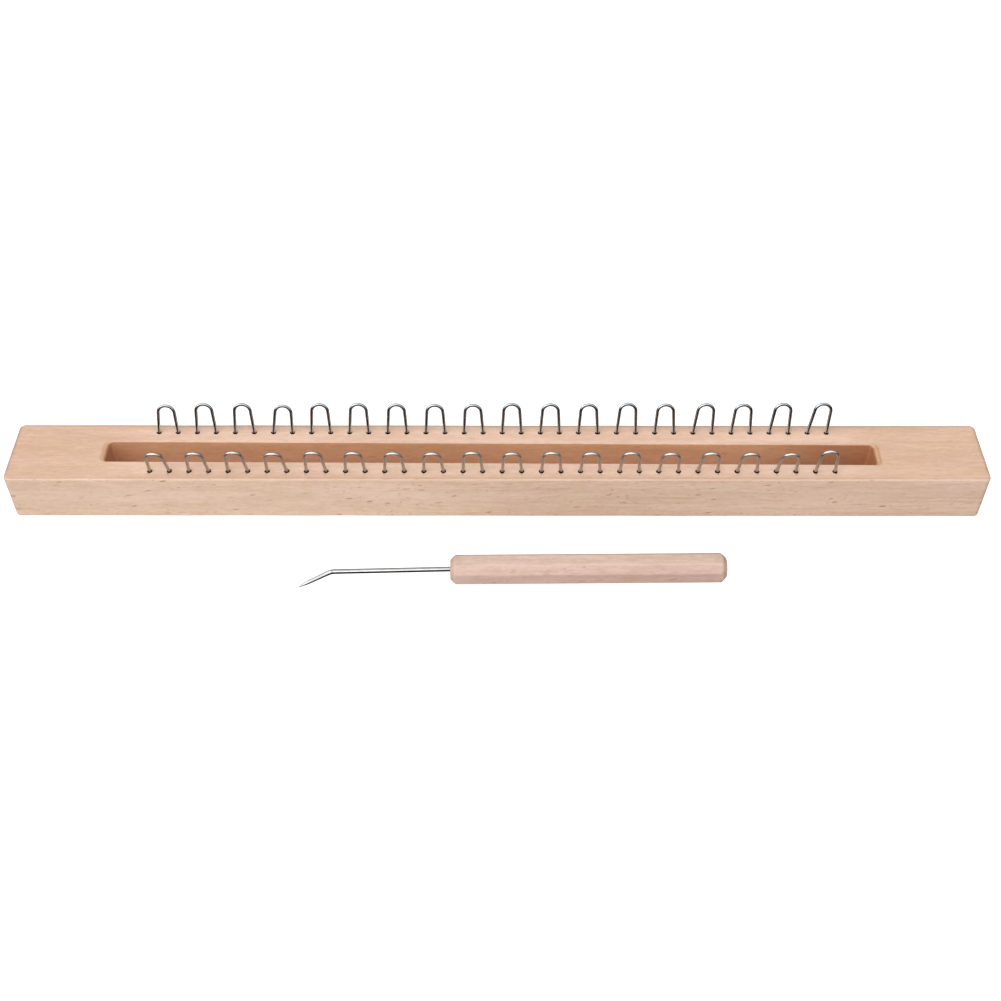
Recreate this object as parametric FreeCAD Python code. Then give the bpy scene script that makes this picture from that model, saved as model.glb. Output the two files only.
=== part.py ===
import FreeCAD, Part
import math
import os
import random

# A knitting loom: a slotted beech bar with two rows of bent steel-wire pegs, and the loose pick that lifts
# the yarn over them. Millimetres and degrees. +X runs along the bar, +Y points from the front row of pegs
# to the back row and +Z is up. The origin is the middle of the bar's underside, in the plane of the table
# on which the bar and the pick both lie.

# ---- bar ----
BAR_LENGTH = 400.0
BAR_WIDTH = 32.0
BAR_HEIGHT = 22.0
BAR_CORNER_RADIUS = 2.5        # the four upright edges
BAR_EDGE_RADIUS = 0.8          # every other outer edge

# ---- slot that the knitting passes down through ----
SLOT_LENGTH = 316.0
SLOT_WIDTH = 11.3
SLOT_MIDDLE = (-2.7, -0.7)     # along and across the bar
SLOT_SKEW = -0.29              # it is cut a little out of line with the bar
SLOT_CORNER_RADIUS = 1.6
SLOT_SIDE_LIP = 0.45           # round-over of the slot's upper and lower rim along its sides
SLOT_END_LIP = 1.6             # and across its ends, where it is sanded further

# ---- wire pegs ----
PEGS_PER_ROW = 18
ROW_OFFSET = -1.9              # of the middle of both rows along the bar
HOLE_PITCH = 7.95              # the holes of a row are evenly spaced, and each peg takes two of them
ROW_SPACING = 22.4
ROW_LEAN = 13.0                # both rows lean away from the slot
WIRE_DIAMETER = 1.3
CROWN_RADIUS = 3.3             # of the wire's centre line, over the top of a peg
CROWN_HEIGHT = 10.2            # from the bar to the centre of the crown, along the lean
LEG_IN_BAR = 10.0

# ---- holes for the wire ----
HOLE_MOUTH_DIAMETER = 2.1      # the drill breaks out a little wider at the surface
HOLE_MOUTH_DEPTH = 3.0
HOLE_DEPTH = 12.0
CUT_CLEARANCE = 2.0            # how far a cutter starts outside the wood
TOLERANCE = 0.05               # for telling edges apart by where they lie

# ---- the pegs are bent and set by hand, so no two stand quite alike ----
PEG_SEED = 11
SIDEWAYS_SPREAD = 0.25
HEIGHT_SPREAD = 0.25
LEAN_SPREAD = 1.0
PLAINLY_ASKEW = {              # extra millimetres sideways, extra height, extra degrees of lean
    "peg_back_01": (0.2, -0.9, 0.0),
    "peg_back_04": (1.0, -0.7, 0.0),
    "peg_back_15": (0.8, 0.0, 0.0),
    "peg_back_17": (0.5, 0.4, 0.0),
    "peg_back_18": (1.0, 0.5, 0.0),
    "peg_front_18": (0.0, 0.3, -5.0),
}

# ---- pick ----
HANDLE_LENGTH = 109.2
HANDLE_ACROSS_FLATS = 11.0     # a square stick
HANDLE_CORNER_CUT = 2.9        # planed off each of its four corners, which leaves eight flats
HANDLE_EDGE_RADIUS = 1.0
HANDLE_END_CHAMFER = 1.5
NEEDLE_DIAMETER = 1.95
NEEDLE_TANG = 22.0             # the part pressed into the handle
NEEDLE_REACH = 47.2            # from the handle to the corner of the bend
NEEDLE_SKEW = 1.1              # the needle points slightly away from the handle's axis
NEEDLE_OFF_AXIS = 0.25         # and leaves the handle this far to one side of it
TIP_LENGTH = 14.6              # from the corner of the bend to the point
TIP_BEND = 31.0
TIP_BEND_RADIUS = 5.0
TIP_SHOULDER_LENGTH = 9.3      # from the end of the bend to where the needle starts to be ground to a point
TIP_SHOULDER_DIAMETER = 1.5
TIP_POINT_DIAMETER = 0.5
PICK_CORNER = (-18.4, -49.4)   # where the axis of the handle meets its needle end, seen from above
PICK_YAW = 0.6

X_AXIS = FreeCAD.Vector(1, 0, 0)
Z_AXIS = FreeCAD.Vector(0, 0, 1)


def rounded_block(length, width, height, corner_radius):
    """A block centred on the Z axis, standing on Z = 0, with its upright edges rounded."""
    block = Part.makeBox(length, width, height, FreeCAD.Vector(-length / 2, -width / 2, 0))
    upright = [edge for edge in block.Edges if abs(edge.tangentAt(edge.FirstParameter).z) > 0.99]
    return block.makeFillet(corner_radius, upright)


def level_edges(solid, half_width):
    """The edges that lie level and keep within half_width of the bar's centre line."""
    level = [edge for edge in solid.Edges if edge.BoundBox.ZLength < TOLERANCE]
    return [
        edge for edge in level
        if max(abs(edge.BoundBox.YMin), abs(edge.BoundBox.YMax)) < half_width + TOLERANCE
    ]


def round_slot_rims(bar):
    """Round over the slot's rims, with a radius that grows round each corner from side to end."""
    radii = []
    rims = level_edges(bar, BAR_WIDTH / 4)
    for number, edge in enumerate(bar.Edges, 1):
        if not any(edge.isSame(rim) for rim in rims):
            continue
        first, last = edge.valueAt(edge.FirstParameter), edge.valueAt(edge.LastParameter)
        if edge.BoundBox.XLength > SLOT_LENGTH / 2:
            radii.append((number, SLOT_SIDE_LIP, SLOT_SIDE_LIP))
        elif edge.BoundBox.XLength < TOLERANCE:
            radii.append((number, SLOT_END_LIP, SLOT_END_LIP))
        elif abs(first.y) > abs(last.y):
            radii.append((number, SLOT_SIDE_LIP, SLOT_END_LIP))
        else:
            radii.append((number, SLOT_END_LIP, SLOT_SIDE_LIP))
    document = FreeCAD.newDocument()
    sharp = document.addObject("Part::Feature", "sharp")
    sharp.Shape = bar
    rounded = document.addObject("Part::Fillet", "rounded")
    rounded.Base = sharp
    rounded.Edges = radii
    document.recompute()
    return rounded.Shape


class Peg:
    """One bent wire: two straight legs that meet a round crown, in a plane that leans outward."""

    def __init__(self, row, side, number, variation):
        self.name = f"peg_{row}_{number:02d}"
        sideways, taller, further = PLAINLY_ASKEW.get(self.name, (0.0, 0.0, 0.0))
        lean = math.radians(ROW_LEAN + further + variation.uniform(-LEAN_SPREAD, LEAN_SPREAD))
        along = (number - (PEGS_PER_ROW + 1) / 2) * 2 * HOLE_PITCH
        self.foot = FreeCAD.Vector(ROW_OFFSET + along, side * ROW_SPACING / 2, BAR_HEIGHT)
        self.up = FreeCAD.Vector(0, side * math.sin(lean), math.cos(lean))
        self.crown_u = sideways + variation.uniform(-SIDEWAYS_SPREAD, SIDEWAYS_SPREAD)
        self.crown_v = CROWN_HEIGHT + taller + variation.uniform(-HEIGHT_SPREAD, HEIGHT_SPREAD)
        self.legs = [self.leg(-1), self.leg(1)]

    def point(self, u, v):
        """A point in the peg's own plane: u along the row, v up the lean from the bar's surface."""
        return self.foot + X_AXIS * u + self.up * v

    def leg(self, hand):
        """The unit direction up one leg, and the point where the leg runs into the crown."""
        foot_u = hand * HOLE_PITCH / 2
        to_crown = math.hypot(self.crown_u - foot_u, self.crown_v)
        aim = math.atan2(self.crown_u - foot_u, self.crown_v)
        slant = aim + hand * math.asin(CROWN_RADIUS / to_crown)
        length = math.sqrt(to_crown ** 2 - CROWN_RADIUS ** 2)
        direction = X_AXIS * math.sin(slant) + self.up * math.cos(slant)
        surface = self.point(foot_u, 0)
        return {"surface": surface, "direction": direction, "crown": surface + direction * length}

    def wire(self):
        """The bent wire as a solid."""
        left, right = self.legs
        left_end = left["surface"] - left["direction"] * LEG_IN_BAR
        right_end = right["surface"] - right["direction"] * LEG_IN_BAR
        top = self.point(self.crown_u, self.crown_v + CROWN_RADIUS)
        path = Part.Wire([
            Part.LineSegment(left_end, left["crown"]).toShape(),
            Part.Arc(left["crown"], top, right["crown"]).toShape(),
            Part.LineSegment(right["crown"], right_end).toShape(),
        ])
        section = Part.Wire(Part.makeCircle(WIRE_DIAMETER / 2, left_end, left["direction"]))
        return path.makePipe(Part.Face(section))

    def holes(self):
        """The cutters for this peg's two holes, each drilled along its leg."""
        cutters = []
        for leg in self.legs:
            start = leg["surface"] + leg["direction"] * CUT_CLEARANCE
            down = leg["direction"] * -1
            mouth = Part.makeCylinder(
                HOLE_MOUTH_DIAMETER / 2, HOLE_MOUTH_DEPTH + CUT_CLEARANCE, start, down)
            grip = Part.makeCylinder(WIRE_DIAMETER / 2, HOLE_DEPTH + CUT_CLEARANCE, start, down)
            cutters.append(mouth.fuse(grip))
        return cutters


def make_bar(pegs):
    """The beech bar: rounded block, long slot right through it, and two holes for each peg."""
    bar = rounded_block(BAR_LENGTH, BAR_WIDTH, BAR_HEIGHT, BAR_CORNER_RADIUS)
    bar = bar.makeFillet(BAR_EDGE_RADIUS, level_edges(bar, BAR_WIDTH / 2))
    slot = rounded_block(
        SLOT_LENGTH, SLOT_WIDTH, BAR_HEIGHT + 2 * CUT_CLEARANCE, SLOT_CORNER_RADIUS)
    slot.Placement = FreeCAD.Placement(
        FreeCAD.Vector(*SLOT_MIDDLE, -CUT_CLEARANCE), FreeCAD.Rotation(Z_AXIS, SLOT_SKEW))
    bar = bar.cut(slot)
    bar = round_slot_rims(bar)
    cutters = [cutter for peg in pegs for cutter in peg.holes()]
    return bar.cut(Part.makeCompound(cutters))


def make_handle(needle):
    """The eight-sided wooden handle along +X from the origin, its ends turned to a chamfer."""
    half = HANDLE_ACROSS_FLATS / 2
    flat_half = half - HANDLE_CORNER_CUT
    radius = math.hypot(half, flat_half)
    beside = math.atan2(flat_half, half)
    corners = []
    for quarter in range(4):
        facing = quarter * math.pi / 2
        for angle in (facing - beside, facing + beside):
            corners.append(FreeCAD.Vector(0, radius * math.cos(angle), radius * math.sin(angle)))
    corners.append(corners[0])
    prism = Part.Face(Part.makePolygon(corners)).extrude(X_AXIS * HANDLE_LENGTH)
    long_edges = [edge for edge in prism.Edges if edge.BoundBox.XLength > HANDLE_LENGTH / 2]
    prism = prism.makeFillet(HANDLE_EDGE_RADIUS, long_edges)
    end_radius = HANDLE_ACROSS_FLATS / 2 - HANDLE_END_CHAMFER
    cone_length = HANDLE_ACROSS_FLATS / 2
    profile = Part.makePolygon([
        FreeCAD.Vector(0, 0, 0),
        FreeCAD.Vector(0, 0, end_radius),
        FreeCAD.Vector(cone_length, 0, end_radius + cone_length),
        FreeCAD.Vector(HANDLE_LENGTH - cone_length, 0, end_radius + cone_length),
        FreeCAD.Vector(HANDLE_LENGTH, 0, end_radius),
        FreeCAD.Vector(HANDLE_LENGTH, 0, 0),
        FreeCAD.Vector(0, 0, 0),
    ])
    turned = Part.Face(profile).revolve(FreeCAD.Vector(0, 0, 0), X_AXIS, 360)
    return prism.common(turned).cut(needle)


def make_needle():
    """The steel needle: tang and shank in one straight line, a bend, and a tip ground to a blunt point."""
    out = FreeCAD.Rotation(Z_AXIS, NEEDLE_SKEW).multVec(X_AXIS * -1)
    tip_way = FreeCAD.Rotation(Z_AXIS, TIP_BEND).multVec(out)
    corner = out * NEEDLE_REACH
    half_bend = math.radians(TIP_BEND / 2)
    setback = TIP_BEND_RADIUS * math.tan(half_bend)
    bend_start = corner - out * setback
    bend_end = corner + tip_way * setback
    inward = (tip_way - out).normalize()
    bend_middle = corner + inward * (TIP_BEND_RADIUS / math.cos(half_bend) - TIP_BEND_RADIUS)
    tang_end = out * -NEEDLE_TANG
    path = Part.Wire([
        Part.LineSegment(tang_end, bend_start).toShape(),
        Part.Arc(bend_start, bend_middle, bend_end).toShape(),
    ])
    section = Part.Wire(Part.makeCircle(NEEDLE_DIAMETER / 2, tang_end, out))
    shank = path.makePipe(Part.Face(section))
    shoulder_radius = TIP_SHOULDER_DIAMETER / 2
    point_radius = TIP_POINT_DIAMETER / 2
    point_distance = TIP_LENGTH - setback - point_radius
    shoulder = bend_end + tip_way * TIP_SHOULDER_LENGTH
    taper = Part.makeCone(NEEDLE_DIAMETER / 2, shoulder_radius, TIP_SHOULDER_LENGTH, bend_end, tip_way)
    ground = Part.makeCone(
        shoulder_radius, point_radius, point_distance - TIP_SHOULDER_LENGTH, shoulder, tip_way)
    point = Part.makeSphere(point_radius, bend_end + tip_way * point_distance)
    needle = shank.fuse([taper, ground, point]).removeSplitter()
    needle.translate(FreeCAD.Vector(0, NEEDLE_OFF_AXIS, 0))
    return needle


def lay_pick(shape):
    """Move a pick piece from its own frame to where the pick lies, in front of the loom."""
    corner = FreeCAD.Vector(PICK_CORNER[0], PICK_CORNER[1], HANDLE_ACROSS_FLATS / 2)
    placed = shape.copy()
    placed.Placement = FreeCAD.Placement(corner, FreeCAD.Rotation(Z_AXIS, PICK_YAW)).multiply(shape.Placement)
    return placed


def single_solid(shape):
    """The one solid that a shape holds."""
    assert len(shape.Solids) == 1 and shape.Solids[0].isValid()
    return shape.Solids[0]


def main():
    os.makedirs("parts", exist_ok=True)
    variation = random.Random(PEG_SEED)
    pegs = []
    for row, side in (("back", 1), ("front", -1)):
        for number in range(1, PEGS_PER_ROW + 1):
            pegs.append(Peg(row, side, number, variation))
    parts = {peg.name: peg.wire() for peg in pegs}
    parts["loom_bar"] = make_bar(pegs)
    needle = make_needle()
    parts["pick_needle"] = lay_pick(needle)
    parts["pick_handle"] = lay_pick(make_handle(needle))
    for name, shape in parts.items():
        solid = single_solid(shape)
        solid.exportStep(f"parts/{name}.step")
        print(f"{name}: {solid.Volume:.1f} mm3, {len(solid.Faces)} faces")


main()
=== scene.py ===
"""Looks for the knitting loom: a slotted beech bar with two rows of bent wire pegs, and the pick beside it.

Every piece is drawn in millimetres in the frame of the CAD part, and scaled to metres when its mesh is made.
"""

import math
import random

import bmesh
import bpy
from mathutils import Matrix, Vector, noise
from mathutils.geometry import delaunay_2d_cdt

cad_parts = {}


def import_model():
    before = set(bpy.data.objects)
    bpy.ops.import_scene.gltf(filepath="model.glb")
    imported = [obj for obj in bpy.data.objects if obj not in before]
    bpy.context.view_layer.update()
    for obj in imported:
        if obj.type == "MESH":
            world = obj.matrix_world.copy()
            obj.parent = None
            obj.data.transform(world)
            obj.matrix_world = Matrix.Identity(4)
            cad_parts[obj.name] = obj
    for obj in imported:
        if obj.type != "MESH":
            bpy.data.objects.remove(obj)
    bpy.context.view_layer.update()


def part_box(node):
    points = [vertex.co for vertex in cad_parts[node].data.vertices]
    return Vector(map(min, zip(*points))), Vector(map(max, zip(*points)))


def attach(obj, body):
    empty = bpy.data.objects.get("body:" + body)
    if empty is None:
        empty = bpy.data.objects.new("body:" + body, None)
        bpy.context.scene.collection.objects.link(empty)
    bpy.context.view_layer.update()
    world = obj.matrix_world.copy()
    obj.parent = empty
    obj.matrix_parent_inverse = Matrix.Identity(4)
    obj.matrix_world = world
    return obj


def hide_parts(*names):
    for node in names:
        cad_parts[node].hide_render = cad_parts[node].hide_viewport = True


MM = 0.001                     # metres in a millimetre

# ---- bar, as in the CAD ----
BAR_CORNER_RADIUS = 2.5        # the four upright edges
BAR_EDGE_RADIUS = 0.8          # every other outer edge
EDGE_WEAR = 0.3                # share by which sanding varies that radius along the bar
EDGE_MARGIN = 0.9              # over which an edge's painted highlight and shade fade into the flat face beside it
SLOT_MARGIN = 1.3              # over which the slot's painted shade at its ends fades into the flat faces
SLOT_MARGIN_LEAST = 0.1        # what is left of that margin along the slot's sides
SLOT_END_RIM_SHARE = 0.75          # share of the walls' colour and painted shade that the rims have at the slot's ends
SLOT_LENGTH = 316.0
SLOT_WIDTH = 11.3
SLOT_MIDDLE = (-2.7, -0.7)     # along and across the bar
SLOT_SKEW = -0.29              # it is cut a little out of line with the bar
SLOT_CORNER_RADIUS = 1.6
SLOT_SIDE_LIP = 0.45           # round-over of the slot's rims along its sides
SLOT_END_LIP = 1.6             # and across its ends
WEAR_WAVELENGTH = (30.0, 6.0)  # along and across the bar, of the uneven sanding
OUTLINE_STEP = 4.0             # between mesh points along a straight edge
CORNER_STEPS = 8
ROUND_STEPS = 8                # mesh bands over a rounded edge

# ---- holes for the wire ----
HOLE_MOUTH_RADIUS = 1.06
HOLE_MOUTH_DEPTH = 3.0
HOLE_GRIP_RADIUS = 0.66
HOLE_DEPTH = 12.0
HOLE_SIDES = 20
HOLE_CHIPPING = 0.14           # share by which the mouth of a hole is uneven
HOLE_CHIP_SCALE = 1.7          # a larger one makes that unevenness finer
HOLE_RIM_RADIUS = 1.06 * HOLE_MOUTH_RADIUS
HOLE_LIP_DEPTH = 0.12

# ---- wire pegs, as in the CAD ----
PEGS_PER_ROW = 18
ROW_OFFSET = -1.9
HOLE_PITCH = 7.95
ROW_SPACING = 22.4
ROW_LEAN = 13.0
WIRE_RADIUS = 0.65
WIRE_SIDES = 20
CROWN_RADIUS = 3.3
CROWN_HEIGHT = 10.2
CROWN_STEPS = 28
LEG_IN_BAR = 10.0
LEG_STEPS = 8
FOOT_STATIONS = (-1.2, -0.4, 0.0)  # heights of extra rings where a leg leaves the wood
DARK_FOOT_HEIGHT = 0.7         # up to which painted shade darkens a leg, where it enters its hole
PEG_SEED = 11
SIDEWAYS_SPREAD = 0.25
HEIGHT_SPREAD = 0.25
LEAN_SPREAD = 1.0
PLAINLY_ASKEW = {              # extra millimetres sideways, extra height, extra degrees of lean
    "back_01": (0.2, -0.9, 0.0),
    "back_04": (1.0, -0.7, 0.0),
    "back_15": (0.8, 0.0, 0.0),
    "back_17": (0.5, 0.4, 0.0),
    "back_18": (1.0, 0.5, 0.0),
    "front_18": (0.0, 0.3, -5.0),
}

# ---- pick, as in the CAD ----
HANDLE_LENGTH = 109.2
HANDLE_ACROSS_FLATS = 11.0     # a square stick
HANDLE_CORNER_CUT = 2.9        # planed off each of its four corners, which leaves eight flats
HANDLE_FLATS = 8
HANDLE_EDGE_RADIUS = 1.0
HANDLE_END_CHAMFER = 1.5
HANDLE_SOFTENING = 0.4         # how far sanding blends the end chamfers into the flats
HANDLE_END_LENGTH = 3.6        # at either end, within which the chamfer's own rings lie
HANDLE_SPANS = 40
CHAMFER_STEP = 0.2
CHAMFER_STEPS = 15
BORE_CLEARANCE = 0.01          # round the needle's tang
NEEDLE_RADIUS = 0.975
NEEDLE_SIDES = 24
NEEDLE_TANG = 22.0
NEEDLE_REACH = 47.2
NEEDLE_SKEW = 1.1
NEEDLE_OFF_AXIS = 0.25
TIP_LENGTH = 14.6
TIP_BEND = 31.0
TIP_BEND_RADIUS = 5.0
TIP_BEND_STEPS = 10
TAPER_STEPS = 6
SHANK_STATIONS = (0.0, 0.3, 0.34, 0.5, 0.7, 0.9)  # shares of the straight length where its rings lie
POINT_ANGLES = (25, 50, 72)    # degrees round the blunt point
TIP_SHOULDER_LENGTH = 9.3
TIP_SHOULDER_RADIUS = 0.75
TIP_POINT_RADIUS = 0.25
PICK_CORNER = (-18.4, -49.4)
PICK_YAW = 0.6

# ---- studio ----
KEY_WAY = (-0.3, -0.62, 0.76)  # towards the brightest part of the surroundings
SIDE_WAY = (-0.86, -0.2, 0.62)  # towards a bright panel at the left, placed for its glints on the wires
KEY_DISTANCE = 1.2             # metres, like every size of the studio
KEY_SIZE = (0.8, 0.5)
KEY_POWER = 2.6
FLOOR_HALF = 6.0
FLOOR_GAP = 0.0001             # below the object, so that the two never share a plane
CAMERA_LENS = 49.45            # millimetres, on a 36 mm sensor
CAMERA_PLACE = (0.00163, -0.400303, 0.422622)
CAMERA_TURN = (42.949, -0.018, 0.053)  # degrees
WHITE = (1.0, 1.0, 1.0, 1.0)


# ------------------------------------------------------------------ mesh

class Shell:
    """The points and faces of one piece in millimetres, with values on its points for the materials."""

    def __init__(self):
        self.points = []
        self.faces = []
        self.hole_shade = []          # 1 inside a drilled hole, and at the foot of a wire: where painted shade darkens them
        self.edge = []         # 1 on a rounded edge, for its painted highlight and shade, and where a wire is polished and painted brighter
        self.milled = []       # 1 on the walls of the slot, and part of that on its rims: it carries the slot's painted shade
        self.drawn = []        # place on a wire: across, across, along

    def ring(self, points, hole_shade=0.0, edge=0.0, milled=0.0, drawn=None):
        """Add a ring of points and give their indices. milled is one value, or one for each point."""
        start = len(self.points)
        self.points.extend(points)
        self.hole_shade.extend([hole_shade] * len(points))
        self.edge.extend([edge] * len(points))
        self.milled.extend(milled if isinstance(milled, list) else [milled] * len(points))
        self.drawn.extend(drawn or [(0.0, 0.0, 0.0)] * len(points))
        return list(range(start, len(self.points)))

    def bridge(self, one, other):
        for i in range(len(one)):
            j = (i + 1) % len(one)
            self.faces.append((one[i], one[j], other[j], other[i]))

    def bridge_all(self, rings):
        for one, other in zip(rings, rings[1:]):
            self.bridge(one, other)

    def close(self, ring):
        """Close a ring with a fan about its middle."""
        middle = sum((self.points[i] for i in ring), Vector()) / len(ring)
        hub = self.ring([middle], self.hole_shade[ring[0]], self.edge[ring[0]], 0.0, [self.drawn[ring[0]]])[0]
        for i in range(len(ring)):
            self.faces.append((ring[i], ring[(i + 1) % len(ring)], hub))

    def fill_level(self, outer, holes):
        """Fill the level region inside one ring and outside the others."""
        indices = [i for ring in [outer] + holes for i in ring]
        rings = []
        for ring in [outer] + holes:
            first = sum(len(earlier) for earlier in rings)
            rings.append(list(range(first, first + len(ring))))
        flat = [self.points[i].to_2d() for i in indices]
        inside_without_holes = 2
        made = delaunay_2d_cdt(flat, [], rings, inside_without_holes, 1e-6)
        back = [indices[origin[0]] for origin in made[3]]
        self.faces.extend(tuple(back[i] for i in face) for face in made[2])

    def piece(self, name, body, cad_node, slot, material):
        """Make the Blender object that stands for a CAD node."""
        mesh = bpy.data.meshes.new(name)
        mesh.from_pydata([point * MM for point in self.points], [], self.faces)
        for label, values in (("hole_shade", self.hole_shade), ("edge", self.edge), ("milled", self.milled)):
            mesh.attributes.new(label, "FLOAT", "POINT").data.foreach_set("value", values)
        flat = [number for place in self.drawn for number in place]
        mesh.attributes.new("drawn", "FLOAT_VECTOR", "POINT").data.foreach_set("vector", flat)
        work = bmesh.new()
        work.from_mesh(mesh)
        bmesh.ops.recalc_face_normals(work, faces=work.faces)
        work.to_mesh(mesh)
        work.free()
        mesh.shade_smooth()
        mesh.materials.append(material)
        made = bpy.data.objects.new(name, mesh)
        bpy.context.scene.collection.objects.link(made)
        weighted = made.modifiers.new("flats_stay_flat", "WEIGHTED_NORMAL")
        weighted.keep_sharp = True
        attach(made, body)
        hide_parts(cad_node)
        return made


def rounded_outline(length, width, radius):
    """Points and outward normals round a rectangle with rounded corners, anticlockwise about the origin."""
    outline = []
    half_x, half_y = length / 2 - radius, width / 2 - radius
    signs = ((1, 1), (-1, 1), (-1, -1), (1, -1))
    for k, (sign_x, sign_y) in enumerate(signs):
        centre = Vector((sign_x * half_x, sign_y * half_y, 0))
        for i in range(CORNER_STEPS + 1):
            angle = (k + i / CORNER_STEPS) * math.pi / 2
            normal = Vector((math.cos(angle), math.sin(angle), 0))
            outline.append((centre + normal * radius, normal))
        next_x, next_y = signs[(k + 1) % 4]
        start = outline[-1][0]
        end = Vector((next_x * half_x, next_y * half_y, 0)) + normal * radius
        runs = max(1, round((end - start).length / OUTLINE_STEP))
        for i in range(1, runs):
            outline.append((start.lerp(end, i / runs), normal))
    return outline


def wall_rings(shell, outline, radii, height, wear, inward, rim_shares=None):
    """The rings of a wall from its lower edge to its upper edge, both rounded over, with a margin beyond.

    radii are the edge radii along the outline. inward is 1 for the outside of the bar, whose edges turn in
    to the flat faces, and -1 for the slot. The last argument, for the slot alone, says how much of the
    colour of its walls, with their painted shade, its rim has at each point of the outline.
    """
    def ring(angle, upper):
        points = []
        for (place, normal), round_radius in zip(outline, radii):
            other_noise = 5.0 if upper else 0.0
            where = Vector((place.x / WEAR_WAVELENGTH[0], place.y / WEAR_WAVELENGTH[1], other_noise))
            radius = round_radius * (1 + wear * noise.noise(where))
            point = place - normal * inward * radius * (1 - math.sin(angle))
            drop = radius * (1 - math.cos(angle))
            point.z = height - drop if upper else drop
            points.append(point)
        # The edge value gives the bar's outer edges their painted highlight and shade.
        if inward > 0:
            return shell.ring(points, edge=max(math.cos(angle) * 0.6, math.sin(2 * angle)))
        on_wall, on_face = math.sin(angle) ** 2, math.cos(angle) ** 12
        return shell.ring(points, milled=[max(on_wall, rim_share * on_face) for rim_share in rim_shares])

    def margin(round_edge):
        if inward > 0:
            widths = [EDGE_MARGIN] * len(outline)
        else:
            widths = [SLOT_MARGIN * rim_share + SLOT_MARGIN_LEAST for rim_share in rim_shares]
        points = [
            shell.points[i] - normal * inward * width
            for i, (_, normal), width in zip(round_edge, outline, widths)
        ]
        return shell.ring(points)

    angles = [i / ROUND_STEPS * math.pi / 2 for i in range(ROUND_STEPS + 1)]
    rings = [ring(angle, False) for angle in angles] + [ring(angle, True) for angle in reversed(angles)]
    return [margin(rings[0])] + rings + [margin(rings[-1])]


def slot_outline():
    """The slot's outline, laid slightly askew, with its rim's radius and share of the walls' painted shade
    at each point.
    """
    turn = Matrix.Rotation(math.radians(SLOT_SKEW), 3, "Z")
    middle = Vector((*SLOT_MIDDLE, 0))
    outline, radii, rim_shares = [], [], []
    for place, normal in rounded_outline(SLOT_LENGTH, SLOT_WIDTH, SLOT_CORNER_RADIUS):
        towards_end = math.atan2(abs(normal.x), abs(normal.y)) / (math.pi / 2)
        outline.append((middle + turn @ place, turn @ normal))
        radii.append(SLOT_SIDE_LIP + (SLOT_END_LIP - SLOT_SIDE_LIP) * towards_end)
        rim_shares.append(SLOT_END_RIM_SHARE * towards_end)
    return outline, radii, rim_shares


def make_bar(pegs, material):
    """The beech bar: rounded block, slot right through it, and a drilled hole for every leg."""
    low, high = (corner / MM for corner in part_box("loom_bar"))
    size = high - low
    shell = Shell()
    outline = rounded_outline(size.x, size.y, BAR_CORNER_RADIUS)
    outside = wall_rings(shell, outline, [BAR_EDGE_RADIUS] * len(outline), size.z, EDGE_WEAR, 1)
    slot_path, slot_radii, rim_shares = slot_outline()
    slot = wall_rings(shell, slot_path, slot_radii, size.z, EDGE_WEAR / 2, -1, rim_shares)
    shell.bridge_all(outside)
    shell.bridge_all(slot)
    mouths = [drill(shell, leg, size.z) for peg in pegs for leg in peg.legs]
    shell.fill_level(outside[-1], [slot[-1]] + mouths)
    shell.fill_level(outside[0], [slot[0]])
    return shell.piece("beech_bar", "loom", "loom_bar", "beech", material)


def drill(shell, leg, height):
    """One hole along a leg: an uneven mouth in the surface, then a bore that grips the wire.

    Gives the ring of its rim.
    """
    surface, direction = leg["surface"], leg["direction"]
    side = direction.cross(Vector((0, 1, 0))).normalized()
    other = direction.cross(side)

    def ring(depth, radius, chipping, hole_shade):
        points = []
        for i in range(HOLE_SIDES):
            angle = 2 * math.pi * i / HOLE_SIDES
            round_it = Vector((math.cos(angle), math.sin(angle), 0))
            tear = noise.noise(Vector((surface.x, surface.y, 0)) + HOLE_CHIP_SCALE * round_it)
            reach = radius * (1 + chipping * tear)
            outward = side * math.cos(angle) + other * math.sin(angle)
            points.append(surface - direction * depth + outward * reach)
        if depth == 0:
            for point in points:
                point.z = height
        return shell.ring(points, hole_shade=hole_shade)

    # The lip and the bore below it are darkened with painted shade.
    rim = ring(0, HOLE_RIM_RADIUS, HOLE_CHIPPING, 0.0)
    lip = ring(HOLE_LIP_DEPTH, HOLE_MOUTH_RADIUS, HOLE_CHIPPING, 0.6)
    throat = ring(HOLE_MOUTH_DEPTH, HOLE_MOUTH_RADIUS, 0.0, 1.0)
    ledge = ring(HOLE_MOUTH_DEPTH, HOLE_GRIP_RADIUS, 0.0, 1.0)
    foot = ring(HOLE_DEPTH, HOLE_GRIP_RADIUS, 0.0, 1.0)
    shell.bridge_all([rim, lip, throat, ledge, foot])
    shell.close(foot)
    return rim


def sweep(path, side, sides, marks=lambda centre: (0.0, 0.0)):
    """A round bar along a path of centre, way and radius, which lies in one plane whose normal is side.

    marks gives how much painted shade and how much polish and painted sheen the bar has at a centre.
    """
    shell = Shell()
    rings = []
    along = 0.0
    before = path[0][0]
    for centre, way, radius in path:
        along += (centre - before).length
        before = centre
        across = way.cross(side)
        points, drawn = [], []
        for i in range(sides):
            angle = 2 * math.pi * i / sides
            points.append(centre + (across * math.cos(angle) + side * math.sin(angle)) * radius)
            drawn.append((math.cos(angle), math.sin(angle), along))
        foot_shade, polish_and_sheen = marks(centre)
        rings.append(shell.ring(points, hole_shade=foot_shade, edge=polish_and_sheen, drawn=drawn))
    shell.bridge_all(rings)
    shell.close(rings[0])
    shell.close(rings[-1])
    return shell


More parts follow.
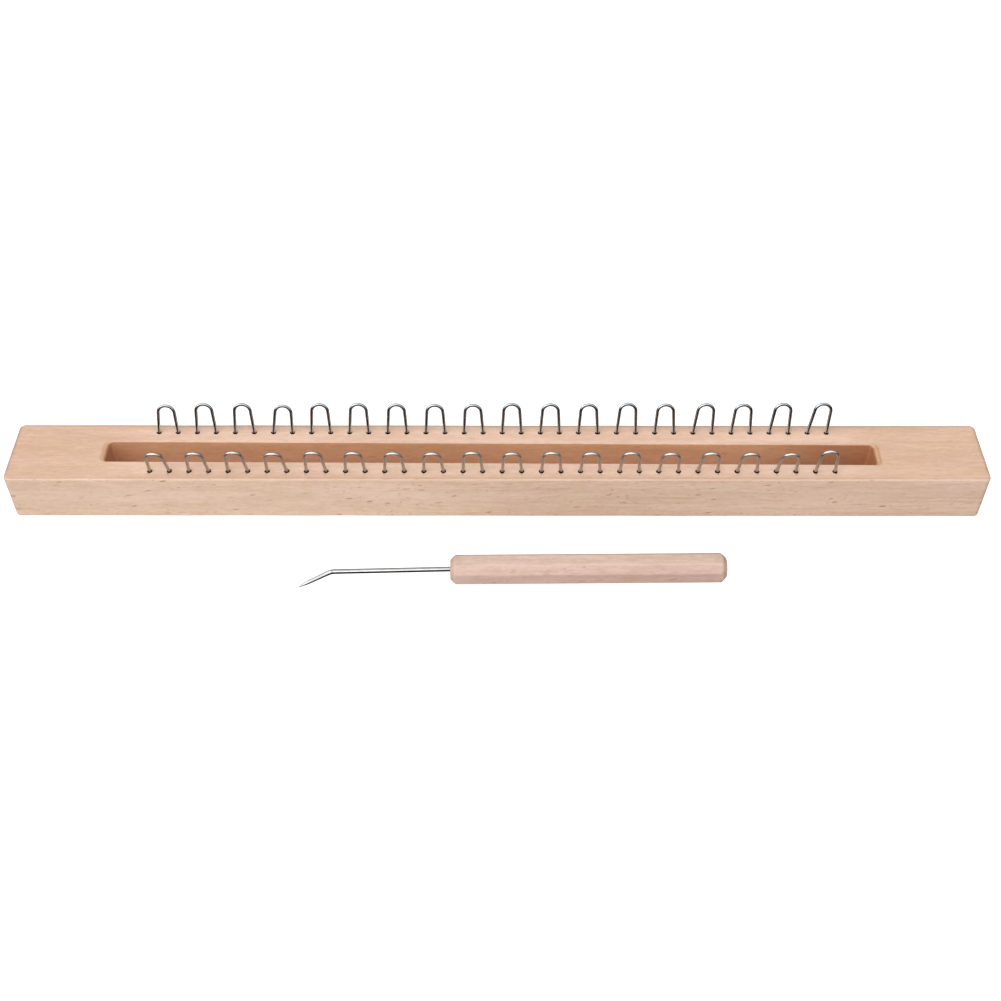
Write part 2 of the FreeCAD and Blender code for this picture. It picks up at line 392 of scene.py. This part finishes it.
class Peg:
    """One bent wire: two straight legs that meet a round crown, in a plane that leans outward."""

    def __init__(self, row, side, number, height, variation):
        self.row = row
        self.name = f"{row}_{number:02d}"
        sideways, taller, further = PLAINLY_ASKEW.get(self.name, (0.0, 0.0, 0.0))
        lean = math.radians(ROW_LEAN + further + variation.uniform(-LEAN_SPREAD, LEAN_SPREAD))
        along = (number - (PEGS_PER_ROW + 1) / 2) * 2 * HOLE_PITCH
        self.foot = Vector((ROW_OFFSET + along, side * ROW_SPACING / 2, height))
        self.row_way = Vector((1, 0, 0))
        self.up = Vector((0, side * math.sin(lean), math.cos(lean)))
        self.crown_u = sideways + variation.uniform(-SIDEWAYS_SPREAD, SIDEWAYS_SPREAD)
        self.crown_v = CROWN_HEIGHT + taller + variation.uniform(-HEIGHT_SPREAD, HEIGHT_SPREAD)
        self.legs = [self.leg(-1), self.leg(1)]

    def point(self, u, v):
        """A point in the peg's own plane: u along the row, v up the lean from the bar's surface."""
        return self.foot + self.row_way * u + self.up * v

    def leg(self, hand):
        """Where a leg leaves the bar, the unit direction up it, and its length and slant to the crown."""
        foot_u = hand * HOLE_PITCH / 2
        to_crown = math.hypot(self.crown_u - foot_u, self.crown_v)
        aim = math.atan2(self.crown_u - foot_u, self.crown_v)
        slant = aim + hand * math.asin(CROWN_RADIUS / to_crown)
        length = math.sqrt(to_crown ** 2 - CROWN_RADIUS ** 2)
        direction = self.row_way * math.sin(slant) + self.up * math.cos(slant)
        return {"surface": self.point(foot_u, 0), "direction": direction, "length": length, "slant": slant}

    def path(self):
        """The wire's line from the end of one leg, over the crown, to the end of the other."""
        left, right = self.legs
        path = []
        for up in self.leg_stations(left):
            path.append((left["surface"] + left["direction"] * up, left["direction"], WIRE_RADIUS))
        start, end = math.pi - left["slant"], -right["slant"]
        for i in range(CROWN_STEPS + 1):
            angle = start + (end - start) * i / CROWN_STEPS
            centre = self.point(
                self.crown_u + CROWN_RADIUS * math.cos(angle), self.crown_v + CROWN_RADIUS * math.sin(angle))
            way = self.row_way * math.sin(angle) - self.up * math.cos(angle)
            path.append((centre, way, WIRE_RADIUS))
        down = right["direction"] * -1
        for up in reversed(self.leg_stations(right)):
            path.append((right["surface"] - down * up, down, WIRE_RADIUS))
        return path

    def leg_stations(self, leg):
        """How far up a leg its rings lie: close together where it leaves the wood."""
        straight = [leg["length"] * i / LEG_STEPS for i in range(1, LEG_STEPS)]
        return [-LEG_IN_BAR, *FOOT_STATIONS, DARK_FOOT_HEIGHT] + straight

    def marks(self, centre):
        """Painted shade where the wire enters its hole, and polish and painted sheen over the crown."""
        height = (centre - self.foot).dot(self.up)
        foot_shade = min(1.0, max(0.0, 1 - height / DARK_FOOT_HEIGHT))
        polish_and_sheen = min(1.0, max(0.0, (height - self.crown_v) / CROWN_RADIUS))
        return foot_shade, polish_and_sheen

    def make(self, material):
        shell = sweep(self.path(), self.row_way.cross(self.up), WIRE_SIDES, self.marks)
        return shell.piece("wire_" + self.name, "loom", "peg_" + self.name, "wire_steel", material)


def turned(vector, degrees):
    return Matrix.Rotation(math.radians(degrees), 3, "Z") @ vector


def needle_path():
    """The needle in the pick's own frame: tang and shank in one line, a bend, a taper, a blunt point."""
    out = turned(Vector((-1, 0, 0)), NEEDLE_SKEW)
    base = Vector((0, NEEDLE_OFF_AXIS, 0))
    setback = TIP_BEND_RADIUS * math.tan(math.radians(TIP_BEND / 2))
    path = []
    start, bend_start = base + out * -NEEDLE_TANG, base + out * (NEEDLE_REACH - setback)
    for share in SHANK_STATIONS:
        path.append((start.lerp(bend_start, share), out, NEEDLE_RADIUS))
    centre = bend_start + turned(out, 90) * TIP_BEND_RADIUS
    for i in range(TIP_BEND_STEPS + 1):
        angle = TIP_BEND * i / TIP_BEND_STEPS
        path.append((centre + turned(bend_start - centre, angle), turned(out, angle), NEEDLE_RADIUS))
    bend_end, tip_way, _ = path[-1]
    point_distance = TIP_LENGTH - setback - TIP_POINT_RADIUS
    for i in range(1, TAPER_STEPS + 1):
        share = i / TAPER_STEPS
        radius = NEEDLE_RADIUS + (TIP_SHOULDER_RADIUS - NEEDLE_RADIUS) * share
        path.append((bend_end + tip_way * TIP_SHOULDER_LENGTH * share, tip_way, radius))
    for i in range(1, TAPER_STEPS + 1):
        share = i / TAPER_STEPS
        distance = TIP_SHOULDER_LENGTH + (point_distance - TIP_SHOULDER_LENGTH) * share
        radius = TIP_SHOULDER_RADIUS + (TIP_POINT_RADIUS - TIP_SHOULDER_RADIUS) * share
        path.append((bend_end + tip_way * distance, tip_way, radius))
    point = path[-1][0]
    for degrees in POINT_ANGLES:
        angle = math.radians(degrees)
        beyond, radius = TIP_POINT_RADIUS * math.sin(angle), TIP_POINT_RADIUS * math.cos(angle)
        path.append((point + tip_way * beyond, tip_way, radius))
    return path


def lay_pick():
    """Where the pick's own frame lies, in front of the loom."""
    corner = Vector((*PICK_CORNER, HANDLE_ACROSS_FLATS / 2))
    return Matrix.Translation(corner) @ Matrix.Rotation(math.radians(PICK_YAW), 4, "Z")


def make_needle(material):
    """The pick's steel needle, with its tang inside the handle."""
    place = lay_pick()
    turn = place.to_3x3()
    path = [(place @ centre, turn @ way, radius) for centre, way, radius in needle_path()]
    back = place.inverted()

    def marks(centre):
        """No painted shade anywhere, and polish and painted sheen beyond the bend."""
        return 0.0, 1.0 if (back @ centre).x < -NEEDLE_REACH else 0.0

    shell = sweep(path, Vector((0, 0, 1)), NEEDLE_SIDES, marks)
    return shell.piece("needle", "pick", "pick_needle", "needle_steel", material)


def handle_outline():
    """Angle and radius of points round the handle: a square stick with planed corners and soft edges."""
    half = HANDLE_ACROSS_FLATS / 2
    wide = half - HANDLE_CORNER_CUT
    flats = ((half, wide), ((half + wide) / math.sqrt(2), (half - wide) / math.sqrt(2)))
    turn = 2 * math.pi / HANDLE_FLATS
    outline = []
    for k in range(HANDLE_FLATS):
        distance, flat_half = flats[k % 2]
        straight = flat_half - HANDLE_EDGE_RADIUS * math.tan(turn / 2)
        spots = [Vector((distance, straight * share)) for share in (-1.0, -0.5, 0.0, 0.5, 1.0)]
        centre = Vector((distance - HANDLE_EDGE_RADIUS, straight))
        for share in (0.25, 0.5, 0.75):
            angle = turn * share
            spots.append(centre + Vector((math.cos(angle), math.sin(angle))) * HANDLE_EDGE_RADIUS)
        outline += [(turn * k + math.atan2(spot.y, spot.x), spot.length) for spot in spots]
    return outline


def soft_least(one, other, blend):
    """The lesser of two values, eased over blend where they are nearly equal."""
    share = min(1.0, max(0.0, 0.5 + 0.5 * (other - one) / blend))
    return other + (one - other) * share - blend * share * (1 - share)


def make_handle(material):
    """The handle: flats with softened edges, a chamfer turned on each end, and a bore for the needle."""
    place = lay_pick()
    shell = Shell()
    outline = handle_outline()
    end_radius = HANDLE_ACROSS_FLATS / 2 - HANDLE_END_CHAMFER

    def ring(x, limit, blend, hole_shade=0.0, edge=0.0):
        points = []
        for angle, radius in outline:
            reach = soft_least(radius, limit, blend) if blend else min(radius, limit)
            points.append(place @ Vector((x, reach * math.cos(angle), reach * math.sin(angle))))
        return shell.ring(points, hole_shade=hole_shade, edge=edge)

    def end_rings(far):
        """The rings of one end: its flat face, the eased edge of that face, and the chamfer."""
        rings = []
        flat_end = [(0.0, end_radius * 0.6), (0.0, end_radius - 0.35), (0.06, end_radius - 0.1)]
        chamfer = [
            (CHAMFER_STEP * (i + 1), end_radius + 0.12 + CHAMFER_STEP * i) for i in range(CHAMFER_STEPS + 1)]
        for steps, blend in ((flat_end, 0.0), (chamfer, HANDLE_SOFTENING)):
            for x, limit in steps:
                # The ends take the rounded edges' painted highlight and shade.
                rings.append(ring(HANDLE_LENGTH - x if far else x, limit, blend, edge=0.5))
        return rings

    near, far = end_rings(False), end_rings(True)
    middle = []
    for i in range(1, HANDLE_SPANS):
        x = HANDLE_END_LENGTH + (HANDLE_LENGTH - 2 * HANDLE_END_LENGTH) * i / HANDLE_SPANS
        middle.append(ring(x, HANDLE_ACROSS_FLATS, 0.0))
    shell.bridge_all(near + middle + far[::-1])
    shell.close(far[0])
    bore = []
    out = turned(Vector((-1, 0, 0)), NEEDLE_SKEW)
    across = out.cross(Vector((0, 0, 1)))
    grip = NEEDLE_RADIUS + BORE_CLEARANCE
    # The bore's walls are darkened with painted shade, less at its mouth.
    mouth = [(0.0, grip + 0.16, 0.3), (0.25, grip + 0.04, 1.0), (0.6, grip, 1.0)]
    for depth, radius, hole_shade in mouth + [(NEEDLE_TANG, grip, 1.0)]:
        points = []
        for angle, _ in outline:
            centre = Vector((0, NEEDLE_OFF_AXIS, 0)) - out * depth
            round_it = across * math.cos(angle) + Vector((0, 0, 1)) * math.sin(angle)
            points.append(place @ (centre + round_it * radius))
        bore.append(shell.ring(points, hole_shade=hole_shade))
    shell.bridge_all([near[0]] + bore)
    shell.close(bore[-1])
    return shell.piece("handle", "pick", "pick_handle", "handle_beech", material)


# ------------------------------------------------------------------ materials

class Nodes:
    """Adds shader nodes to one node tree and wires them up."""

    # sockets of a Mix node that is set to colours
    COLOUR_SHARE, COLOUR_ONE, COLOUR_OTHER, COLOUR_RESULT = 0, 6, 7, 2

    def __init__(self, tree):
        self.tree = tree

    def add(self, kind, inputs=None, **settings):
        node = self.tree.nodes.new(kind)
        for name, value in settings.items():
            setattr(node, name, value)
        for name, value in (inputs or {}).items():
            self.feed(node.inputs[name], value)
        return node

    def feed(self, socket, value):
        if isinstance(value, bpy.types.NodeSocket):
            self.tree.links.new(value, socket)
        else:
            socket.default_value = value

    def math(self, operation, one, other=0.0, third=0.0):
        return self.add("ShaderNodeMath", {0: one, 1: other, 2: third}, operation=operation).outputs[0]

    def times(self, *factors):
        product = factors[0]
        for factor in factors[1:]:
            product = self.math("MULTIPLY", product, factor)
        return product

    def rest_of(self, share):
        return self.math("SUBTRACT", 1.0, share)

    def size_of(self, value):
        return self.math("ABSOLUTE", value)

    def vector_math(self, operation, one, other):
        return self.add("ShaderNodeVectorMath", {0: one, 1: other}, operation=operation).outputs["Vector"]

    def scaled(self, vector, factors):
        return self.vector_math("MULTIPLY", vector, factors)

    def dot(self, one, other):
        return self.add("ShaderNodeVectorMath", {0: one, 1: other}, operation="DOT_PRODUCT").outputs["Value"]

    def parts(self, vector):
        """The X, Y and Z of a vector."""
        return self.add("ShaderNodeSeparateXYZ", {"Vector": vector}).outputs

    def noise(self, vector, detail=2.0, roughness=0.5):
        node = self.add("ShaderNodeTexNoise", {
            "Vector": vector, "Scale": 1.0, "Detail": detail, "Roughness": roughness})
        return node.outputs["Fac"]

    def noise_vector(self, vector):
        node = self.add("ShaderNodeTexNoise", {"Vector": vector, "Scale": 1.0, "Detail": 2.0})
        return node.outputs["Color"]

    def span(self, value, low, high, to_low=0.0, to_high=1.0):
        """Maps low..high to to_low..to_high smoothly, and holds beyond."""
        node = self.add("ShaderNodeMapRange", {
            "Value": value, "From Min": low, "From Max": high, "To Min": to_low, "To Max": to_high},
            interpolation_type="SMOOTHSTEP")
        return node.outputs["Result"]

    def mix(self, share, one, other, blend="MIX"):
        """Mix two colours, by numbered sockets, because the colour ones share their names with others."""
        node = self.add("ShaderNodeMix", data_type="RGBA", blend_type=blend)
        self.feed(node.inputs[self.COLOUR_SHARE], share)
        self.feed(node.inputs[self.COLOUR_ONE], one)
        self.feed(node.inputs[self.COLOUR_OTHER], other)
        return node.outputs[self.COLOUR_RESULT]

    def tint(self, colour, share, red, green, blue):
        """Multiply a colour by a tone, as far as share says."""
        return self.mix(share, colour, (red, green, blue, 1.0), "MULTIPLY")

    def attribute(self, name, output="Fac"):
        return self.add("ShaderNodeAttribute", attribute_name=name).outputs[output]

    def bump(self, height, strength, distance):
        node = self.add("ShaderNodeBump", {"Strength": strength, "Distance": distance, "Height": height})
        return node.outputs["Normal"]


def new_material(name):
    """A material with an empty Principled surface, the nodes to fill it in with, and that surface."""
    material = bpy.data.materials.new(name)
    material.use_nodes = True
    material.node_tree.nodes.clear()
    nodes = Nodes(material.node_tree)
    surface = nodes.add("ShaderNodeBsdfPrincipled")
    output = nodes.add("ShaderNodeOutputMaterial")
    nodes.feed(output.inputs["Surface"], surface.outputs["BSDF"])
    return material, nodes, surface


def shade(red, green, blue):
    """A colour given as sRGB bytes, in the linear values that nodes take."""
    def linear(byte):
        value = byte / 255
        return value / 12.92 if value <= 0.04045 else ((value + 0.055) / 1.055) ** 2.4
    return (linear(red), linear(green), linear(blue), 1.0)


def stretched(nodes, place, along, across, shift):
    """Object coordinates in cells of the given millimetres, long along the grain."""
    moved = nodes.vector_math("ADD", place, shift)
    return nodes.scaled(moved, (1 / along, 1 / across, 1 / across))


def flecks(nodes, place, cell, shift, rarity):
    """Ray flecks: short dark spindles, each in its own cell, of which a share is left empty."""
    moved = nodes.vector_math("ADD", place, shift)
    in_cells = nodes.scaled(moved, tuple(1 / size for size in cell))
    wander = nodes.scaled(nodes.noise_vector(in_cells), (0.5, 0.5, 0.5))
    cells = nodes.add("ShaderNodeTexVoronoi", {
        "Vector": nodes.vector_math("ADD", in_cells, wander), "Scale": 1.0, "Randomness": 1.0})
    chance = nodes.add("ShaderNodeSeparateColor", {"Color": cells.outputs["Color"]})
    present = nodes.span(chance.outputs[0], rarity, rarity + 0.12)
    size = nodes.span(chance.outputs[1], 0.0, 1.0, 0.16, 0.34)
    near = nodes.math("DIVIDE", cells.outputs["Distance"], size)
    return nodes.times(nodes.span(near, 1.0, 0.45), present)


def slanting_flecks(nodes, bent, along, shift):
    """Large and small flecks, which climb a little along the grain."""
    climb = nodes.add("ShaderNodeCombineXYZ", {"Z": nodes.times(along, -0.16)}).outputs["Vector"]
    rising = nodes.vector_math("ADD", bent, climb)
    large = flecks(nodes, rising, (7.0, 4.0, 2.1), shift, 0.5)
    small = flecks(nodes, rising, (3.2, 2.2, 1.3), shift, 0.6)
    return nodes.math("MAXIMUM", large, nodes.times(small, 0.7))


def side_shading(nodes, colour, bent, along, outer_side, shift):
    """The front and back faces: painted shade toward +X, and dark lines along the grain, stronger that way
    too.
    """
    painted_shade_along = nodes.span(along, -60.0, 170.0)
    colour = nodes.tint(colour, nodes.times(outer_side, painted_shade_along), 0.93, 0.915, 0.925)
    lines = nodes.span(nodes.noise(stretched(nodes, bent, 45.0, 1.1, shift)), 0.54, 0.68, 0.0, 0.6)
    lined = nodes.times(outer_side, nodes.span(along, -120.0, 90.0))
    return nodes.tint(colour, nodes.times(lines, lined), 0.86, 0.81, 0.80)


def slot_shading(nodes, colour, spot, from_middle, milled):
    """Painted shade on the slot's walls: less further down, more at both ends, most at the one toward +X."""
    deep = nodes.span(spot["Z"], 20.0, 8.0)
    wall_shade_tone = nodes.mix(deep, (0.95, 0.80, 0.62, 1.0), (1.14, 0.99, 0.84, 1.0))
    colour = nodes.mix(milled, colour, wall_shade_tone, "MULTIPLY")
    # Painted shade at both ends of the slot, strongest toward +X.
    near_end = nodes.span(from_middle, 140.0, 159.0, 0.0, 0.4)
    far_end = nodes.span(spot["X"], 100.0, 150.0)
    darker = nodes.times(milled, nodes.math("MAXIMUM", near_end, far_end))
    return nodes.tint(colour, darker, 0.78, 0.64, 0.56)


def strip_shading(nodes, colour, spot, from_middle, milled):
    """The strips of the top beside the slot, painted paler than its ends: a painted sheen."""
    aside = nodes.size_of(spot["Y"])
    beside_slot = nodes.times(nodes.span(aside, 3.0, 6.5), nodes.span(aside, 16.0, 11.0))
    strip = nodes.times(beside_slot, nodes.span(from_middle, 165.0, 135.0), nodes.rest_of(milled))
    # Painted sheen on the top beside the slot.
    return nodes.tint(colour, strip, 1.14, 1.18, 1.24)


def edge_shading(nodes, colour, spot, facing, light):
    """Rounded edges: a painted highlight where they face the front, and painted shade elsewhere."""
    edge = nodes.attribute("edge")
    toward_front = nodes.span(facing["Y"], -0.2, -0.5)
    colour = nodes.mix(nodes.times(edge, toward_front, 0.22), colour, light)
    behind_front = nodes.span(spot["Y"], -14.0, -10.0, 0.4, 1.0)
    return nodes.tint(colour, nodes.times(edge, nodes.rest_of(toward_front), behind_front), 0.60, 0.62, 0.66)


def beech(name, light, dark, fleck_tone, front_lighting_tone, end_tone, shift, fleck_strength):
    """Sanded beech: pale fibres, slow bands of tone, ray flecks on the flat-sawn faces, redder end grain.

    Lengths are millimetres in the frame of the part. shift moves the grain, so that no two pieces share it.
    The side, slot, strip and edge shadings are painted light and shade: they are fitted to how the object
    looks, and the studio's soft light alone doesn't make them. The slot's and the strips' don't reach the
    handle. The other two do. The dark insides of the holes and of the bore are painted shade too. The tone
    of the front and back faces is painted as well: paler, cooler light on the bar, and shade on the handle.
    end_tone tints the end faces.
    """
    material, nodes, surface = new_material(name)
    coordinates = nodes.add("ShaderNodeTexCoord").outputs
    place = nodes.scaled(coordinates["Object"], (1 / MM, 1 / MM, 1 / MM))
    spot = nodes.parts(place)
    facing = nodes.parts(coordinates["Normal"])
    milled = nodes.attribute("milled")
    wander = nodes.noise_vector(stretched(nodes, place, 40.0, 12.0, shift))
    bent = nodes.vector_math("ADD", place, nodes.scaled(wander, (0.0, 2.4, 2.4)))

    bands = nodes.noise(stretched(nodes, bent, 70.0, 6.0, shift), 2.0)
    streaks = nodes.noise(stretched(nodes, bent, 7.0, 1.3, shift), 3.0, 0.6)
    fibres = nodes.noise(stretched(nodes, bent, 2.2, 0.45, shift), 3.0, 0.6)
    tone = nodes.math("ADD", nodes.times(bands, 0.34), nodes.times(streaks, 0.34))
    tone = nodes.math("ADD", tone, nodes.times(fibres, 0.32))
    colour = nodes.mix(nodes.span(tone, 0.36, 0.64), light, dark)
    rosy = nodes.noise(stretched(nodes, place, 16.0, 7.0, shift), 2.0)
    colour = nodes.tint(colour, nodes.span(rosy, 0.35, 0.65), 1.0, 0.98, 0.995)
    colour = nodes.tint(colour, nodes.span(rosy, 0.65, 0.35), 0.995, 1.0, 0.965)

    frontal = nodes.span(nodes.size_of(facing["Y"]), 0.3, 0.88)
    endwise = nodes.span(nodes.size_of(facing["X"]), 0.45, 0.95)
    outer_side = nodes.times(frontal, nodes.rest_of(milled))
    zones = nodes.span(nodes.noise(stretched(nodes, place, 30.0, 9.0, shift), 1.0), 0.35, 0.65, 0.35, 1.0)
    fleck = slanting_flecks(nodes, bent, spot["X"], shift)
    showing = nodes.times(fleck, zones, nodes.span(frontal, 0.0, 1.0, 0.18, 1.0))
    showing = nodes.times(showing, nodes.span(milled, 0.0, 1.0, 1.0, 0.4))
    colour = nodes.mix(nodes.times(showing, fleck_strength), colour, fleck_tone)
    # Painted light on the bar's front and back faces, and painted shade on the handle's.
    colour = nodes.tint(colour, outer_side, *front_lighting_tone)
    end_grain = nodes.times(endwise, nodes.span(milled, 0.0, 1.0, 0.85, 0.45))
    colour = nodes.tint(colour, end_grain, *end_tone)

    from_middle = nodes.size_of(nodes.math("SUBTRACT", spot["X"], SLOT_MIDDLE[0]))
    colour = side_shading(nodes, colour, bent, spot["X"], outer_side, shift)
    colour = slot_shading(nodes, colour, spot, from_middle, milled)
    colour = strip_shading(nodes, colour, spot, from_middle, milled)
    colour = edge_shading(nodes, colour, spot, facing, light)
    # Painted shade inside the holes and the bore.
    colour = nodes.mix(nodes.times(nodes.attribute("hole_shade"), 0.92), colour, shade(50, 23, 9))

    surface.inputs["Specular IOR Level"].default_value = 0.35
    nodes.feed(surface.inputs["Base Color"], colour)
    nodes.feed(surface.inputs["Roughness"], nodes.math("MULTIPLY_ADD", fibres, 0.2, 0.46))
    relief = nodes.math("MULTIPLY_ADD", fibres, 0.5, nodes.times(streaks, 0.5))
    relief = nodes.math("SUBTRACT", relief, nodes.times(showing, 0.4))
    nodes.feed(surface.inputs["Normal"], nodes.bump(relief, 0.35, 0.00006))
    return material


def drawn_steel(name, tone, polish_and_sheen_tone, roughness, line_depth, dark_reflection_way, dark_reflection_from, dark_reflection_share):
    """Bright drawn wire: fine lines along it, cloudy polish, small dull specks, and polished,
    brighter-painted crowns.

    The side of the wire that faces a given way across its length is painted darker, by a given share.
    This painted dark reflection stands for a wire's dark core, which the studio's light alone doesn't give.
    """
    material, nodes, surface = new_material(name)
    drawn = nodes.attribute("drawn", "Vector")
    polish_and_sheen = nodes.attribute("edge")
    lines = nodes.noise(nodes.scaled(drawn, (7.0, 7.0, 0.12)), 3.0, 0.65)
    clouds = nodes.noise(nodes.scaled(drawn, (0.8, 0.8, 0.35)))
    place = nodes.add("ShaderNodeTexCoord").outputs["Object"]
    dull = nodes.span(nodes.noise(nodes.scaled(place, (2600.0, 2600.0, 2600.0))), 0.62, 0.74)
    # Crowns and the needle's tip take a brighter tone: polish and a painted highlight.
    base = nodes.mix(polish_and_sheen, tone, polish_and_sheen_tone)
    colour = nodes.tint(base, nodes.span(clouds, 0.3, 0.7), 0.86, 0.86, 0.86)
    colour = nodes.mix(nodes.times(dull, 0.35), colour, shade(112, 104, 98))
    # Painted dark reflection along one side of the wire.
    painted_dark_reflection = nodes.times(nodes.span(nodes.dot(drawn, dark_reflection_way), dark_reflection_from, 0.96), dark_reflection_share)
    colour = nodes.tint(colour, painted_dark_reflection, 0.03, 0.04, 0.05)
    # Painted shade on the foot of a wire, where it enters its hole.
    colour = nodes.mix(nodes.times(nodes.attribute("hole_shade"), 0.95), colour, shade(56, 26, 10))
    surface.inputs["Metallic"].default_value = 1.0
    surface.inputs["Specular Tint"].default_value = (0.8, 0.8, 0.8, 1.0)
    nodes.feed(surface.inputs["Base Color"], colour)
    rough = nodes.math("MULTIPLY_ADD", clouds, 0.12, roughness)
    rough = nodes.math("MULTIPLY_ADD", dull, 0.15, rough)
    rough = nodes.math("MULTIPLY_ADD", polish_and_sheen, 0.10, rough)
    nodes.feed(surface.inputs["Roughness"], rough)
    nodes.feed(surface.inputs["Normal"], nodes.bump(lines, 0.5, line_depth))
    return material


# ------------------------------------------------------------------ stage

def make_floor():
    """A plain pale floor. It glows, and more in the camera's sight than onto the object.

    So it looks white and hardly shows a shadow. It isn't seen in reflections.
    """
    material = bpy.data.materials.new("pale_floor")
    material.use_nodes = True
    material.node_tree.nodes.clear()
    nodes = Nodes(material.node_tree)
    place = nodes.add("ShaderNodeTexCoord").outputs["Object"]
    grain = nodes.span(nodes.noise(nodes.scaled(place, (3.0, 3.0, 3.0))), 0.3, 0.7, 0.40, 0.42)
    paper = nodes.add("ShaderNodeCombineColor", {0: grain, 1: grain, 2: grain})
    diffuse = nodes.add("ShaderNodeBsdfDiffuse", {"Color": paper.outputs[0]})
    seen = nodes.add("ShaderNodeLightPath").outputs["Is Camera Ray"]
    strength = nodes.span(seen, 0.0, 1.0, 0.26, 0.9)
    glow = nodes.add("ShaderNodeEmission", {"Color": WHITE, "Strength": strength})
    both = nodes.add("ShaderNodeAddShader", {0: diffuse.outputs[0], 1: glow.outputs[0]})
    output = nodes.add("ShaderNodeOutputMaterial")
    nodes.feed(output.inputs["Surface"], both.outputs[0])
    mesh = bpy.data.meshes.new("floor")
    signs = ((-1, -1), (1, -1), (1, 1), (-1, 1))
    corners = [(sign_x * FLOOR_HALF, sign_y * FLOOR_HALF, 0) for sign_x, sign_y in signs]
    mesh.from_pydata(corners, [], [(0, 1, 2, 3)])
    mesh.materials.append(material)
    floor = bpy.data.objects.new("floor", mesh)
    floor.location.z = -FLOOR_GAP
    bpy.context.scene.collection.objects.link(floor)
    floor.visible_glossy = False


def make_world():
    """Studio surroundings: brightest above and in front, a bright panel at the left, dark below.

    The camera itself sees plain white instead.
    """
    world = bpy.data.worlds.new("studio")
    world.use_nodes = True
    world.node_tree.nodes.clear()
    nodes = Nodes(world.node_tree)
    way = nodes.add("ShaderNodeTexCoord").outputs["Generated"]
    overhead = nodes.span(nodes.dot(way, Vector(KEY_WAY).normalized()), -0.2, 1.0, 0.24, 1.36)
    panel = nodes.span(nodes.dot(way, Vector(SIDE_WAY).normalized()), 0.92, 0.99, 0.0, 1.9)
    height = nodes.parts(way)["Z"]
    above = nodes.span(height, -0.02, 0.2, 0.03, 1.0)
    beneath = nodes.span(height, -0.6, -0.95, 0.0, 0.45)
    strength = nodes.math("MULTIPLY_ADD", nodes.math("ADD", overhead, panel), above, beneath)
    glow = nodes.add("ShaderNodeBackground", {"Color": WHITE, "Strength": strength})
    plain = nodes.add("ShaderNodeBackground", {"Color": WHITE, "Strength": 1.0})
    seen = nodes.add("ShaderNodeLightPath").outputs["Is Camera Ray"]
    both = nodes.add("ShaderNodeMixShader", {0: seen, 1: glow.outputs[0], 2: plain.outputs[0]})
    output = nodes.add("ShaderNodeOutputWorld")
    nodes.feed(output.inputs["Surface"], both.outputs[0])
    bpy.context.scene.world = world


def make_key_light():
    """One large soft light, which shines from the brightest part of the surroundings to the origin."""
    data = bpy.data.lights.new("key", "AREA")
    data.shape = "RECTANGLE"
    data.size, data.size_y = KEY_SIZE
    data.energy = KEY_POWER
    light = bpy.data.objects.new("key", data)
    light.location = Vector(KEY_WAY) * KEY_DISTANCE
    light.rotation_euler = (-light.location).to_track_quat("-Z", "Y").to_euler()
    bpy.context.scene.collection.objects.link(light)


def make_camera():
    """The camera, with the place, turn and lens that were fitted to the bar's outline."""
    data = bpy.data.cameras.new("camera")
    data.lens = CAMERA_LENS
    data.sensor_width = 36.0
    data.clip_end = 50.0
    camera = bpy.data.objects.new("camera", data)
    camera.location = CAMERA_PLACE
    camera.rotation_euler = [math.radians(degrees) for degrees in CAMERA_TURN]
    bpy.context.scene.collection.objects.link(camera)
    bpy.context.scene.camera = camera
    bpy.context.scene.view_settings.view_transform = "Standard"


# ------------------------------------------------------------------ the whole picture

def main():
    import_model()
    bar_beech = beech(
        "beech", light=shade(222, 188, 166), dark=shade(206, 169, 142), fleck_tone=shade(158, 112, 82),
        front_lighting_tone=(1.06, 1.15, 1.20), end_tone=(0.74, 0.58, 0.46), shift=(0.0, 0.0, 0.0),
        fleck_strength=0.75)
    handle_beech = beech(
        "beech_handle", light=shade(217, 191, 177), dark=shade(199, 167, 149),
        fleck_tone=shade(170, 122, 96), front_lighting_tone=(0.905, 0.865, 0.875), end_tone=(0.80, 0.68, 0.60),
        shift=(340.0, 55.0, 21.0), fleck_strength=0.6)
    flat_side = (0.0, 1.0, 0.0)
    # One steel in two tones, painted for the light each row reflects: the back bluish, with a strong painted
    # dark reflection, the front paler and warmer, with a faint one.
    wires = {
        "back": drawn_steel(
            "wire_steel", tone=(0.64, 0.75, 0.84, 1.0), polish_and_sheen_tone=(0.62, 0.64, 0.66, 1.0),
            roughness=0.08, line_depth=0.000006, dark_reflection_way=flat_side, dark_reflection_from=0.74, dark_reflection_share=0.93),
        "front": drawn_steel(
            "wire_steel_front", tone=(0.60, 0.55, 0.51, 1.0), polish_and_sheen_tone=(0.80, 0.72, 0.67, 1.0),
            roughness=0.22, line_depth=0.000006, dark_reflection_way=flat_side, dark_reflection_from=0.76, dark_reflection_share=0.12),
    }
    # The needle has a painted dark reflection along one side, and its tip is polished and painted brighter.
    needle_steel = drawn_steel(
        "needle_steel", tone=(0.5, 0.5, 0.5, 1.0), polish_and_sheen_tone=(0.92, 0.92, 0.92, 1.0), roughness=0.05,
        line_depth=0.000004, dark_reflection_way=(-0.98, -0.19, 0.0), dark_reflection_from=0.45, dark_reflection_share=0.94)

    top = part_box("loom_bar")[1].z / MM
    variation = random.Random(PEG_SEED)
    pegs = []
    for row, side in (("back", 1), ("front", -1)):
        for number in range(1, PEGS_PER_ROW + 1):
            pegs.append(Peg(row, side, number, top, variation))
    make_bar(pegs, bar_beech)
    for peg in pegs:
        peg.make(wires[peg.row])
    make_handle(handle_beech)
    make_needle(needle_steel)

    make_floor()
    make_world()
    make_key_light()
    make_camera()


main()
